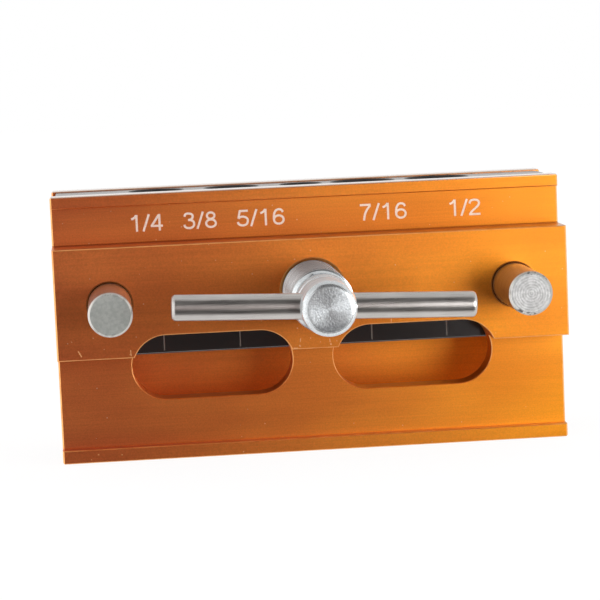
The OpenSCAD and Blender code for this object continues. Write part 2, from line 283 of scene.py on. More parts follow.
def speckledColour(tree, place, soiled):
    # a pale speck in some cells, each with its own size
    o = orangeAnodise
    cells = addNode(tree, "TexVoronoi", in0=place, scale=perMm(o["speckCellMm"]))
    chance = addNode(tree, "SeparateColor", color=cells.outputs["Color"])
    reach = addNode(tree, "Math", times, in0=chance, in1=o["speckShare"])
    inside = addNode(tree, "Math", under, in0=cells.outputs["Distance"], in1=reach)
    chosen = addNode(tree, "Math", over, in0=chance.outputs[1], in1=o["speckFrom"])
    speck = addNode(tree, "Math", times, in0=inside, in1=chosen)
    faint = addNode(tree, "Math", times, in0=speck, in1=o["speckStrength"])
    return addNode(tree, "Mix", colourMix, in0=faint, in6=soiled, in7=linear(o["speck"]))


def makeOrangeAnodise():
    # anodised aluminium: etched, dyed orange and sealed; the metal gives the warm glow between the jaws,
    # the satin lobe the slow fall of light along them, and the specks show where the oxide is broken
    o = orangeAnodise
    material, tree, place, normal = startMaterial("orangeAnodisedAluminium")
    placeParts = addNode(tree, "SeparateXYZ", in0=place)
    normalParts = addNode(tree, "SeparateXYZ", in0=normal)
    facing = addNode(tree, "Math", absolute, in0=normalParts.outputs[1])
    upZ = placeParts.outputs[2]
    grain = addNode(tree, "TexNoise", in0=place, scale=perMm(o["grainMm"]), detail=3.0)
    dyed = dyedColour(tree, place, placeParts.outputs[0], grain)
    # dye with the painted highlights on the chamfers and along the top
    worn = highlightedColour(tree, place, facing, upZ, dyed)
    # painted shade in the corner above the ledge and in the rod mouths
    soiled = paintedShadeColour(tree, placeParts, normalParts.outputs[1], worn)
    colour = speckledColour(tree, place, soiled)

    matt = addNode(tree, "MapRange", in0=grain, **wideNoise, **giving(o["roughness"]))
    milled = addNode(tree, "Math", over, in0=upZ, in1=o["milledAbove"] * mm)
    smoother = addNode(tree, "Math", times, in0=milled, in1=-o["milledSmoother"])
    rough = addNode(tree, "Math", plus, in0=matt, in1=smoother)
    sealUp = addNode(tree, "MapRange", smoothRange, in0=normalParts.outputs[2], **reading((0.9, 0.98)),
                     **giving((o["sealWeight"], o["sealUp"])))
    seal = addNode(tree, "Math", larger, in0=sealUp, in1=milled)
    relief = addNode(tree, "Bump", strength=o["relief"], distance=o["reliefMm"] * mm, height=grain)
    endMaterial(tree, baseColor=colour, metallic=o["metallic"], roughness=rough, normal=relief,
                coatWeight=seal, coatRoughness=o["sealRoughness"], coatIor=o["sealIor"])
    return material


blackAnodise = {
    "dark": "#17110f",
    "worn": "#241b18",
    "line": "#8f8983",        # bare metal at the bottom of a witness line
    "lineDepth": 0.2,
    "lineNear": 0.06,
    "metallic": 0.0,
    "roughness": (0.13, 0.23),
    "grainMm": 0.5,
    "cloudMm": 9.0,
    "cloudStretch": 4,
    "relief": 0.2,
    "reliefMm": 0.02,
}


def makeBlackAnodise():
    # anodised aluminium, dyed black: nearly black where it faces the eye, and pale at a grazing angle,
    # as the top of the block shows
    o = blackAnodise
    material, tree, place = startMaterial("blackAnodisedAluminium")[:3]
    longPlace = addNode(tree, "Mapping", in0=place, in3=[1 / o["cloudStretch"], 1, 1])
    cloud = addNode(tree, "TexNoise", in0=longPlace, scale=perMm(o["cloudMm"]), detail=3.0)
    grain = addNode(tree, "TexNoise", in0=place, scale=perMm(o["grainMm"]), detail=3.0)
    cloudShare = addNode(tree, "MapRange", smoothRange, in0=cloud, **reading((0.35, 0.7)))
    dyed = addNode(tree, "Mix", colourMix, in0=cloudShare, in6=linear(o["dark"]), in7=linear(o["worn"]))
    depth = addNode(tree, "SeparateXYZ", in0=place).outputs[1]
    lineFloor = (jig["blockFrontY"] + o["lineDepth"]) * mm
    line = addNode(tree, "Math", near, in0=depth, in1=lineFloor, in2=o["lineNear"] * mm)
    colour = addNode(tree, "Mix", colourMix, in0=line, in6=dyed, in7=linear(o["line"]))
    rough = addNode(tree, "MapRange", in0=grain, **wideNoise, **giving(o["roughness"]))
    relief = addNode(tree, "Bump", strength=o["relief"], distance=o["reliefMm"] * mm, height=grain)
    endMaterial(tree, baseColor=colour, metallic=o["metallic"], roughness=rough, normal=relief)
    return material


rodSteel = {
    "skin": "#dcd8d2",
    "ground": "#c4c0b9",
    "nick": "#3d3a37",
    "metallic": 1.0,
    "roughness": 0.28,
    "endMetallic": 0.6,
    "endRoughness": 0.55,
    "grindMm": 0.35,          # grinding lines round the rod
    "grindStretch": 40,
    "grindHeight": 0.3,
    "turnMm": 0.75,           # feed marks on the sawn and turned end
    "wanderMm": 0.6,          # how far they stray
    "wanderPatchMm": 3.0,
    "blotchMm": 0.9,
    "chipMm": 1.2,
    "chipLevel": (0.51, 0.55),        # of the noise, where a chip starts
    "rim": (5.0, 5.8),        # chips start between these radii
    "chipAlong": (0.3, 0.0, 0.95),    # and lie below and above on this line across the end
    "chipReach": (4.2, 5.4),
    "endY": -45.525,          # face of the end
    "chipDepth": 0.8,
    "relief": 0.5,
    "reliefMm": 0.05,
    "ends": {
        "left": {"side": -1, "dull": "#b3b7b2", "pale": "#c2c5c0", "rings": 0.1, "nicks": 0.3},
        "right": {"side": 1, "dull": "#b0b0af", "pale": "#dadad9", "rings": 0.8, "nicks": 1.0},
    },
}


def feedMarks(tree, place, radius):
    # a sine of the radius, which wanders a little
    o = rodSteel
    wander = addNode(tree, "TexNoise", in0=place, scale=perMm(o["wanderPatchMm"]))
    stray = addNode(tree, "Math", times, in0=wander, in1=o["wanderMm"] * mm)
    ringRadius = addNode(tree, "Math", plus, in0=radius, in1=stray)
    ringAngle = addNode(tree, "Math", times, in0=ringRadius, in1=2 * math.pi * perMm(o["turnMm"]))
    return addNode(tree, "Math", {"operation": "SINE"}, in0=ringAngle)


def chippedShare(tree, place, flat, radius, most):
    # chips in the rim of the end, at two places across from each other
    o = rodSteel
    rim = addNode(tree, "MapRange", smoothRange, in0=radius, **readingMm(o["rim"]))
    chips = addNode(tree, "TexNoise", in0=place, scale=perMm(o["chipMm"]), detail=3.0)
    chipShare = addNode(tree, "MapRange", smoothRange, in0=chips, **reading(o["chipLevel"]))
    chipped = addNode(tree, "Math", times, in0=rim, in1=chipShare)
    chipLine = addNode(tree, "VectorMath", dotProduct, in0=flat, in1=o["chipAlong"]).outputs["Value"]
    reach = addNode(tree, "Math", absolute, in0=chipLine)
    chipGiving = giving((0.1, 1.0))
    struck = addNode(tree, "MapRange", smoothRange, in0=reach, **readingMm(o["chipReach"]), **chipGiving)
    depth = addNode(tree, "SeparateXYZ", in0=place).outputs[1]
    endZone = readingMm((o["endY"], o["endY"] + o["chipDepth"]))
    nearEnd = addNode(tree, "MapRange", in0=depth, **endZone, **giving((most, 0.0)))
    chipHere = addNode(tree, "Math", times, in0=chipped, in1=struck)
    return addNode(tree, "Math", times, in0=chipHere, in1=nearEnd)


def makeRodSteel(name, end):
    # ground steel bar: fine lines round it that take up the orange of the jaw, and a paler faced end,
    # dull on one rod, with feed marks and a chipped rim on the other
    o = rodSteel
    material, tree, place, normal = startMaterial(name)
    axisPlace = [-end["side"] * jig["rodX"] * mm, 0.0, -jig["rodHeight"] * mm]
    axis = addNode(tree, "Mapping", in0=place, in1=axisPlace)
    flat = addNode(tree, "Mapping", in0=axis, in3=[1.0, 0.0, 1.0])
    radius = addNode(tree, "VectorMath", length, in0=flat).outputs["Value"]
    normalParts = addNode(tree, "SeparateXYZ", in0=normal)
    facing = addNode(tree, "Math", absolute, in0=normalParts.outputs[1])
    endFace = addNode(tree, "MapRange", smoothRange, in0=facing, **reading((0.8, 0.95)))
    rings = feedMarks(tree, place, radius)

    stretch = 1 / o["grindStretch"]
    roundPlace = addNode(tree, "Mapping", in0=place, in3=[stretch, 1, stretch])
    grind = addNode(tree, "TexNoise", in0=roundPlace, scale=perMm(o["grindMm"]))
    grindShare = addNode(tree, "MapRange", smoothRange, in0=grind, **midNoise)
    skin = addNode(tree, "Mix", colourMix, in0=grindShare, in6=linear(o["ground"]), in7=linear(o["skin"]))
    blotch = addNode(tree, "TexNoise", in0=place, scale=perMm(o["blotchMm"]), detail=4.0)
    blotchShare = addNode(tree, "MapRange", smoothRange, in0=blotch, **midNoise)
    ringShare = addNode(tree, "MapRange", in0=rings, **reading((-1.0, 1.0)))
    unevenRing = addNode(tree, "Mix", in0=0.5, in2=ringShare, in3=blotchShare)
    tone = addNode(tree, "Mix", in0=end["rings"], in2=blotchShare, in3=unevenRing)
    faced = addNode(tree, "Mix", colourMix, in0=tone, in6=linear(end["dull"]), in7=linear(end["pale"]))
    clean = addNode(tree, "Mix", colourMix, in0=endFace, in6=skin, in7=faced)
    nick = chippedShare(tree, place, flat, radius, end["nicks"])
    colour = addNode(tree, "Mix", colourMix, in0=nick, in6=clean, in7=linear(o["nick"]))

    rough = addNode(tree, "MapRange", in0=endFace, **giving((o["roughness"], o["endRoughness"])))
    metal = addNode(tree, "MapRange", in0=endFace, **giving((o["metallic"], o["endMetallic"])))
    ringHeight = addNode(tree, "Math", times, in0=rings, in1=end["rings"])
    endHeight = addNode(tree, "Math", plus, in0=ringHeight, in1=blotch)
    onEnd = addNode(tree, "Math", times, in0=endHeight, in1=endFace)
    grindHeight = addNode(tree, "Math", times, in0=grind, in1=o["grindHeight"])
    height = addNode(tree, "Math", plus, in0=onEnd, in1=grindHeight)
    relief = addNode(tree, "Bump", strength=o["relief"], distance=o["reliefMm"] * mm, height=height)
    endMaterial(tree, baseColor=colour, metallic=metal, roughness=rough, normal=relief)
    return material


screwSteel = {
    "plate": "#e8eced",
    "shade": "#d9dddf",
    "stain": "#868b90",
    "metallic": 0.85,
    "roughness": 0.25,
    "milkyMetallic": 0.2,     # round sides, where the plating is thick and dull
    "milkyRoughness": 0.4,
    "faceRougher": 0.14,
    "aniso": 0.65,
    "faceDepth": 0.4,         # the face of the head lies within this of the screw's front
    "dimpleMm": 0.55,         # fine uneven face of the head
    "dimpleHeight": 3.0,
    "streakMm": 0.9,          # width of the fine streaks towards its rim
    "streakRadius": 4.5,
    "stainLevel": (0.4, 0.85),        # of the noise
    "stainShare": (0.25, 0.8),
    "lowStain": 0.2,          # more stain low on the face, between the next two heights
    "lowZone": (-5.4, -3.0),
    "dullTurnMm": 3.5,
    "dullTurn": (0.85, 1.08),
    "turnMm": 0.4,
    "turnStretch": 40,
    "turnHeight": 0.05,
    "relief": 0.5,
    "reliefMm": 0.07,
}


def stainShareOn(tree, away, upZ, face):
    # streaks run out from the centre: the noise is read on a circle, and changes slowly away from it
    o = screwSteel
    onCircle = addNode(tree, "VectorMath", {"operation": "NORMALIZE"}, in0=away)
    streakPlace = addNode(tree, "Mapping", in0=onCircle, in3=[o["streakRadius"] * mm] * 3)
    streakAt = addNode(tree, "VectorMath", plus, in0=streakPlace, in1=away)
    streaks = addNode(tree, "TexNoise", in0=streakAt, scale=perMm(o["streakMm"]), detail=3.0)
    lowGiving = giving((o["lowStain"], 0.0))
    low = addNode(tree, "MapRange", smoothRange, in0=upZ, **readingMm(o["lowZone"]), **lowGiving)
    level = addNode(tree, "Math", plus, in0=streaks, in1=low)
    stained = addNode(tree, "MapRange", smoothRange, in0=level, **reading(o["stainLevel"]),
                      **giving(o["stainShare"]))
    return addNode(tree, "Math", times, in0=stained, in1=face)


def makeScrewSteel():
    # zinc plated steel: a milky metal with bright rounded edges; the face of the head was turned, so its
    # shine is drawn out across the centre, and the plating left fine dimples and a grey stain there
    o = screwSteel
    material, tree, place, normal = startMaterial("zincPlatedSteel")
    axis = addNode(tree, "Mapping", in0=place, in1=[0.0, 0.0, -jig["screwHeight"] * mm])
    parts = addNode(tree, "SeparateXYZ", in0=axis)
    frontY = (jig["middleY"] - screw["faceAt"] + o["faceDepth"]) * mm
    atFront = addNode(tree, "Math", under, in0=parts.outputs[1], in1=frontY)
    normalParts = addNode(tree, "SeparateXYZ", in0=normal)
    facing = addNode(tree, "Math", absolute, in0=normalParts.outputs[1])
    flatFace = addNode(tree, "MapRange", smoothRange, in0=facing, **reading((0.93, 0.995)))
    face = addNode(tree, "Math", times, in0=atFront, in1=flatFace)

    # direction away from the axis, across the turning marks, along which they draw out the shine
    away = addNode(tree, "CombineXYZ", in0=parts.outputs[0], in2=parts.outputs[2])
    toWorld = {"vector_type": "VECTOR", "convert_from": "OBJECT", "convert_to": "WORLD"}
    tangent = addNode(tree, "VectorTransform", toWorld, in0=away)

    dimples = addNode(tree, "TexNoise", in0=place, scale=perMm(o["dimpleMm"]), detail=3.0)
    dimpleShare = addNode(tree, "MapRange", smoothRange, in0=dimples, **wideNoise)
    plated = addNode(tree, "Mix", colourMix, in0=dimpleShare, in6=linear(o["shade"]), in7=linear(o["plate"]))
    stain = stainShareOn(tree, away, parts.outputs[2], face)
    stainedPlate = addNode(tree, "Mix", colourMix, in0=stain, in6=plated, in7=linear(o["stain"]))

    # some turns of the thread are duller than others
    alongPlace = addNode(tree, "Mapping", in0=place, in3=[0.0, 1.0, 0.0])
    turnNoise = addNode(tree, "TexNoise", in0=alongPlace, scale=perMm(o["dullTurnMm"]), detail=2.0)
    dulled = addNode(tree, "MapRange", smoothRange, in0=turnNoise, **midNoise, **giving(o["dullTurn"]))
    colour = addNode(tree, "HueSaturation", color=stainedPlate, value=dulled)

    milky = addNode(tree, "MapRange", smoothRange, in0=facing, **reading((0.03, 0.3)), **falling)
    sideRough = addNode(tree, "MapRange", in0=milky, **giving((o["roughness"], o["milkyRoughness"])))
    faceRough = addNode(tree, "Math", times, in0=face, in1=o["faceRougher"])
    rough = addNode(tree, "Math", plus, in0=sideRough, in1=faceRough)
    metal = addNode(tree, "MapRange", in0=milky, **giving((o["metallic"], o["milkyMetallic"])))
    drawn = addNode(tree, "Math", times, in0=face, in1=o["aniso"])
    stretch = 1 / o["turnStretch"]
    roundPlace = addNode(tree, "Mapping", in0=place, in3=[stretch, 1, stretch])
    turned = addNode(tree, "TexNoise", in0=roundPlace, scale=perMm(o["turnMm"]))
    turnedHeight = addNode(tree, "Math", times, in0=turned, in1=o["turnHeight"])
    faceDimples = addNode(tree, "Math", times, in0=dimples, in1=face)
    faceHeight = addNode(tree, "Math", times, in0=faceDimples, in1=o["dimpleHeight"])
    height = addNode(tree, "Math", plus, in0=faceHeight, in1=turnedHeight)
    relief = addNode(tree, "Bump", strength=o["relief"], distance=o["reliefMm"] * mm, height=height)
    endMaterial(tree, baseColor=colour, metallic=metal, roughness=rough, anisotropic=drawn,
                tangent=tangent, normal=relief)
    return material


plainSteels = {
    "cloudMm": 7.0,
    "lineShare": 0.7,         # of the unevenness, and the rest is the clouds'
    "reliefMm": 0.02,
    # bright drawn bar: soft bands of the room along it, under fine lines along its length
    "bar": {"pale": "#d9d5d1", "dark": "#c4c0bc", "metallic": 0.95, "roughness": (0.26, 0.36),
            "lineMm": 0.3, "stretch": (60, 1, 1), "depth": 0.06},
    # hardened and ground: greyer, with lines along the bore
    "bushing": {"pale": "#8b8884", "dark": "#6c6a67", "metallic": 1.0, "roughness": (0.2, 0.3),
                "lineMm": 0.4, "stretch": (1, 1, 30), "depth": 0.3},
    # black oxide: dark and dull
    "setScrew": {"pale": "#2e2d2d", "dark": "#1b1b1b", "metallic": 1.0, "roughness": (0.36, 0.46),
                 "lineMm": 0.6, "stretch": (1, 1, 1), "depth": 0.3},
}


def makePlainSteel(name, kind):
    # drawn, ground or blackened steel: two close tones in lines that follow how it was made
    o = plainSteels[kind]
    material, tree, place = startMaterial(name)[:3]
    linePlace = addNode(tree, "Mapping", in0=place, in3=[1 / s for s in o["stretch"]])
    lines = addNode(tree, "TexNoise", in0=linePlace, scale=perMm(o["lineMm"]), detail=3.0)
    cloud = addNode(tree, "TexNoise", in0=place, scale=perMm(plainSteels["cloudMm"]))
    lineShare = addNode(tree, "Math", times, in0=lines, in1=plainSteels["lineShare"])
    cloudShare = addNode(tree, "Math", times, in0=cloud, in1=1 - plainSteels["lineShare"])
    both = addNode(tree, "Math", plus, in0=lineShare, in1=cloudShare)
    share = addNode(tree, "MapRange", smoothRange, in0=both, **midNoise)
    colour = addNode(tree, "Mix", colourMix, in0=share, in6=linear(o["dark"]), in7=linear(o["pale"]))
    rough = addNode(tree, "MapRange", in0=lines, **wideNoise, **giving(o["roughness"]))
    relief = addNode(tree, "Bump", strength=o["depth"], distance=plainSteels["reliefMm"] * mm, height=lines)
    endMaterial(tree, baseColor=colour, metallic=o["metallic"], roughness=rough, normal=relief)
    return material


bareOxides = {
    "speckleMm": 0.25,
    "roughness": (0.5, 0.7),
    "engraving": {"pale": "#ffeee0", "dark": "#f5d8c6"},
    "nick": {"pale": "#f6bd80", "dark": "#ee9d56"},
}


def makeBareOxide(name, kind):
    # laser marked or chipped oxide: the dye is gone, so rough bare oxide shows pale and flat
    o = bareOxides[kind]
    material, tree, place = startMaterial(name)[:3]
    speckle = addNode(tree, "TexNoise", in0=place, scale=perMm(bareOxides["speckleMm"]))
    share = addNode(tree, "MapRange", smoothRange, in0=speckle, **wideNoise)
    colour = addNode(tree, "Mix", colourMix, in0=share, in6=linear(o["dark"]), in7=linear(o["pale"]))
    rough = addNode(tree, "MapRange", in0=speckle, **wideNoise, **giving(bareOxides["roughness"]))
    endMaterial(tree, baseColor=colour, roughness=rough)
    return material


materials = {
    "jaw": makeOrangeAnodise(),
    "block": makeBlackAnodise(),
    "rodLeft": makeRodSteel("groundSteelLeftRod", rodSteel["ends"]["left"]),
    "rodRight": makeRodSteel("groundSteelRightRod", rodSteel["ends"]["right"]),
    "screw": makeScrewSteel(),
    "bar": makePlainSteel("polishedBrightBar", "bar"),
    "bushing": makePlainSteel("hardenedBushingSteel", "bushing"),
    "setScrew": makePlainSteel("blackOxideSteel", "setScrew"),
    "engraving": makeBareOxide("laserMarkedOxide", "engraving"),
    "nick": makeBareOxide("chippedOxide", "nick"),
}
finishOf = {
    "front_jaw": "jaw", "rear_jaw": "jaw", "centre_block": "block",
    "guide_rod_left": "rodLeft", "guide_rod_right": "rodRight",
    "bushing_small_outer": "bushing", "bushing_small_inner": "bushing",
    "bushing_large_inner": "bushing", "bushing_large_outer": "bushing",
    "dog_point_screw": "setScrew", "rod_grub_screw_left": "setScrew", "rod_grub_screw_right": "setScrew",
    "lead_screw": "screw", "handle_bar": "bar",
}
for nodeName, finish in finishOf.items():
    nodes[nodeName].data.materials.clear()
    nodes[nodeName].data.materials.append(materials[finish])
print("finishes made,", len(materials))


def gridQuads(rows, columns):
    # corner numbers of the faces between the points of a grid
    index = np.arange(rows * columns).reshape(rows, columns)
    corners = [index[:-1, :-1], index[:-1, 1:], index[1:, 1:], index[1:, :-1]]
    return np.stack(corners, -1).reshape(-1, 4)


leastArea = 1e-9
sharpAngle = 28


def addSurfaces(name, grids, outward, material, body):
    # grids are arrays of points in mm, rows by columns by 3; outward gives a direction out of the
    # surface at each face's middle, and a grid whose faces mostly point in is turned over
    corners, faces, start = [], [], 0
    for grid in grids:
        quad = gridQuads(*grid.shape[:2])
        flat = grid.reshape(-1, 3)
        a, b, c, d = (flat[quad[:, k]] for k in range(4))
        direction = np.cross(c - a, d - b)
        if np.sum(direction * outward((a + b + c + d) / 4)) < 0:
            quad = quad[:, ::-1]
        area = np.linalg.norm(direction, axis=1)
        quad = quad[area > leastArea]
        corners.append(flat)
        faces.append(quad + start)
        start += len(flat)
    mesh = bpy.data.meshes.new(name)
    mesh.from_pydata((np.concatenate(corners) * mm).tolist(), [], np.concatenate(faces).tolist())
    mesh.polygons.foreach_set("use_smooth", np.ones(len(mesh.polygons), bool))
    mesh.set_sharp_from_angle(angle=math.radians(sharpAngle))
    mesh.materials.append(material)
    piece = bpy.data.objects.new(name, mesh)
    bpy.context.scene.collection.objects.link(piece)
    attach(piece, body)
    return piece


# main screw with its two cut threads: a left-hand one in front and a right-hand one behind
def roundAxis(along, radius, angle):
    # points at that distance towards the handle from the middle plane, at that radius and angle
    height = jig["screwHeight"] + radius * np.cos(angle)
    return np.stack([radius * np.sin(angle), jig["middleY"] - along, height], -1)


def threadGrid(end, side, hand):
    # a flat-topped tooth carried round a helix: the angle turns, the place moves one pitch each turn,
    # and the radius is the tooth's, cut down by the chamfers at both ends
    s = screw
    turns = (end - s["start"]) / s["pitch"] + 1
    angle = np.linspace(0, 2 * math.pi * turns, int(turns * s["turnSteps"]) + 1)[:, None]
    crest, flank = s["crestShare"], s["flankShare"]
    share = np.array([0, crest, crest + flank, 1 - flank, 1.0])[None, :]
    tooth = np.array([s["crest"], s["crest"], s["root"], s["root"], s["crest"]])[None, :]
    along = s["start"] + s["pitch"] * (angle / (2 * math.pi) - 1 + share)
    along = np.clip(along, s["start"], end)
    offEnd = np.maximum(0, along - (end - s["chamfer"]))
    offStart = np.maximum(0, s["start"] + s["chamfer"] - along)
    radius = np.minimum(tooth + 0 * along, s["crest"] - offEnd - offStart)
    return roundAxis(side * along, radius, hand * side * angle + 0 * along)


def turnedGrid(profile):
    # a profile of distance and radius turned once round the screw's axis
    along, radius = np.array(profile, float).T[:, None, :]
    angle = np.linspace(0, 2 * math.pi, screw["turnSteps"] + 1)[:, None]
    return roundAxis(along + 0 * angle, radius + 0 * angle, angle + 0 * along)


def buildScrew():
    s = screw
    inner = s["crest"] - s["chamfer"]
    groove = [(-s["start"], inner), (-s["start"], s["grooveRadius"]),
              (s["start"], s["grooveRadius"]), (s["start"], inner)]
    mark = s["centreMark"]
    rear = [(-s["rearEnd"], inner), (-s["rearEnd"], mark), (mark - s["rearEnd"], 0.0)]
    collar, broken, neck = s["collarRadius"], s["collarBreak"], s["headRadius"] - s["collarBreak"]
    head = [(s["frontEnd"], inner), (s["frontEnd"], s["undercutRadius"]),
            (s["undercutEnd"], s["undercutRadius"]), (s["undercutEnd"], collar - broken),
            (s["undercutEnd"] + broken, collar), (s["collarEnd"] - s["collarSlope"], collar),
            (s["collarEnd"], neck), (s["collarEnd"] + s["neckFlat"], neck),
            (s["collarEnd"] + s["neckSlope"], s["headRadius"])]
    rim = s["rimRadius"]
    rimAt, rimFrom = s["faceAt"] - rim, s["headRadius"] - rim
    quarter = np.radians(np.arange(0, 91, s["rimStep"]))
    head += [(rimAt + rim * math.sin(a), rimFrom + rim * math.cos(a)) for a in quarter]
    head += [(s["faceAt"], r) for r in s["faceRings"]]
    grids = [threadGrid(s["frontEnd"], 1, 1), threadGrid(s["rearEnd"], -1, -1),
             turnedGrid(groove), turnedGrid(rear), turnedGrid(head)]

    def outward(points):
        # away from the axis, and a little along it for the flat ends
        away = points - np.array([0, jig["middleY"], jig["screwHeight"]])
        away[:, 1] *= 0.02
        return away

    piece = addSurfaces("screwWithThreads", grids, outward, materials["screw"], "screw_body")
    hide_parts("lead_screw")


buildScrew()
print("main screw threaded")


# engraved sizes on the recessed band
lettering = {
    "capHeight": 4.95,
    "letterWidth": 5.5,       # of a letter one unit wide
    "base": 68.05,
    "stroke": 0.64,
    "raise": 0.03,            # thickness of the pale mark
    "strokeRaise": 0.002,     # each further stroke of a digit stands higher by this
    "slashStep": 0.388,       # widths as shares of the height
    "digitStep": 0.776,
    "marks": {"1/4": -53.3, "3/8": -37.2, "5/16": -21.15, "7/16": 15.7, "1/2": 42.4},
}


def arc(x, y, rx, ry, a, b, steps=20):
    # ellipse from angle a to angle b in degrees
    t = np.radians(np.linspace(a, b, steps))
    return np.stack([x + rx * np.cos(t), y + ry * np.sin(t)], 1)


def smooth(points, steps=8):
    # curve through the points, each span a cubic whose slope at a point is half the step between its
    # neighbours
    p = np.array(points, float)
    p = np.concatenate([[2 * p[0] - p[1]], p, [2 * p[-1] - p[-2]]])
    t = np.linspace(0, 1, steps, endpoint=False)[:, None]
    spans = []
    for a, b, c, d in zip(p, p[1:], p[2:], p[3:]):
        square = 2 * a - 5 * b + 4 * c - d
        cube = 3 * b - a - 3 * c + d
        spans.append(0.5 * (2 * b + (c - a) * t + square * t ** 2 + cube * t ** 3))
    return np.concatenate(spans + [p[-2:-1]])


def straight(*points):
    return np.array(points, float)


# each digit in a box about 0.7 wide and 1 high
digitStrokes = {
    "1": [straight((0.458, 0), (0.458, 1)),
          smooth([(0.44, 0.985), (0.38, 0.88), (0.29, 0.80), (0.17, 0.745)])],
    "2": [smooth([(0.105, 0.72), (0.16, 0.87), (0.27, 0.93), (0.40, 0.937), (0.53, 0.91), (0.62, 0.82),
                  (0.63, 0.70), (0.56, 0.56), (0.40, 0.40), (0.24, 0.25), (0.13, 0.10)]),
          straight((0.07, 0.063), (0.70, 0.063))],
    "3": [smooth([(0.125, 0.76), (0.17, 0.88), (0.27, 0.935), (0.38, 0.935), (0.50, 0.90), (0.57, 0.81),
                  (0.56, 0.68), (0.47, 0.58), (0.32, 0.545)]),
          smooth([(0.32, 0.545), (0.47, 0.535), (0.59, 0.46), (0.635, 0.34), (0.61, 0.19), (0.51, 0.09),
                  (0.37, 0.06), (0.22, 0.09), (0.13, 0.17), (0.105, 0.27)])],
    "4": [straight((0.53, 0), (0.53, 1)), straight((0.50, 0.95), (0.10, 0.31)),
          straight((0.045, 0.29), (0.70, 0.29))],
    "5": [straight((0.195, 0.937), (0.66, 0.937)), straight((0.225, 0.97), (0.135, 0.49)),
          smooth([(0.135, 0.49), (0.24, 0.57), (0.38, 0.59), (0.52, 0.55), (0.62, 0.45), (0.64, 0.32),
                  (0.60, 0.18), (0.50, 0.09), (0.37, 0.06), (0.23, 0.09), (0.13, 0.17), (0.10, 0.28)])],
    "6": [arc(0.39, 0.315, 0.262, 0.252, 0, 360, 40),
          smooth([(0.128, 0.33), (0.13, 0.52), (0.17, 0.73), (0.26, 0.88), (0.40, 0.937), (0.54, 0.90),
                  (0.63, 0.76)])],
    "7": [straight((0.09, 0.937), (0.68, 0.937)),
          smooth([(0.66, 0.90), (0.52, 0.72), (0.40, 0.50), (0.33, 0.26), (0.29, 0.0)])],
    "8": [arc(0.388, 0.748, 0.205, 0.19, 0, 360, 40), arc(0.388, 0.29, 0.262, 0.228, 0, 360, 40)],
    "/": [straight((0.03, -0.01), (0.36, 1.01))],
}
markDepth = 0.02    # mm that a mark's sides go into the face


def strokeGrid(path, stroke, face, lift):
    # a flat-topped bar carried along the path on the face at that Y, half a stroke to each side of it
    step = np.gradient(path, axis=0)
    across = np.stack([-step[:, 1], step[:, 0]], 1)
    side = across / np.linalg.norm(step, axis=1)[:, None] * stroke / 2
    front, back = face - lift, face + markDepth
    lines = [(path - side, back), (path - side, front), (path + side, front), (path + side, back)]
    return np.stack([np.stack([p[:, 0], np.full(len(p), y), p[:, 1]], 1) for p, y in lines], 1)


def towardsHandle(points):
    return np.array([0, -1.0, 0]) + 0 * points


def buildLettering():
    o = lettering
    grids = []
    for text, x in o["marks"].items():
        for letter in text:
            for number, stroke in enumerate(digitStrokes[letter]):
                path = stroke * [o["letterWidth"], o["capHeight"]] + [x, o["base"]]
                lift = o["raise"] + number * o["strokeRaise"]
                grids.append(strokeGrid(path, o["stroke"], jig["labelY"], lift))
            x += o["letterWidth"] * (o["slashStep"] if letter == "/" else o["digitStep"])
    addSurfaces("engravedSizes", grids, towardsHandle, materials["engraving"], "front_jaw_body")


buildLettering()
print("sizes engraved")


# knocks and scratches on the front jaw, as x and z of both ends and a width, in mm
nicks = {
    "raise": 0.012,
    "bandY": [
        (-69.9, 34.6, -69.0, 32.9, 0.3), (-54.6, 34.2, -54.5, 32.4, 0.28), (-65.5, 38.4, -65.2, 38.2, 0.3),
        (-54.9, 32.9, -54.3, 32.8, 0.3), (-4.3, 35.1, -4.5, 33.9, 0.26), (-4.8, 33.0, -4.4, 32.6, 0.42),
        (22.9, 39.5, 22.8, 38.3, 0.26), (4.3, 34.5, 4.4, 33.4, 0.24), (4.5, 33.1, 4.7, 32.6, 0.5),
        (-1.5, 35.0, -1.2, 34.9, 0.3), (-6.5, 32.2, -5.2, 32.1, 0.3), (-71.8, 37.6, -71.6, 37.3, 0.26),
        (-62.4, 34.9, -62.2, 34.7, 0.24), (1.4, 33.7, 1.6, 33.6, 0.24), (6.3, 33.8, 6.5, 33.6, 0.26),
    ],
    "flangeY": [(-15.5, 8.6, -15.2, 8.4, 0.34), (26.2, 5.7, 26.5, 5.5, 0.3), (-22.6, 5.0, -22.4, 4.9, 0.24)],
    "footY": [(-65.8, 2.5, -65.4, 2.4, 0.32), (-58.8, 2.1, -58.5, 2.0, 0.34), (-22.5, 0.9, -22.2, 0.8, 0.3),
              (-67.9, 1.1, -67.7, 1.0, 0.24)],
    "labelY": [(-66.4, 74.1, -66.2, 74.0, 0.22), (-45.4, 65.4, -45.1, 65.3, 0.26)],
}


def buildNicks():
    grids = []
    for face in ("bandY", "flangeY", "footY", "labelY"):
        for x0, z0, x1, z1, width in nicks[face]:
            grids.append(strokeGrid(straight((x0, z0), (x1, z1)), width, jig[face], nicks["raise"]))
    addSurfaces("paleNicks", grids, towardsHandle, materials["nick"], "front_jaw_body")


buildNicks()
print("knocks and scratches laid on")


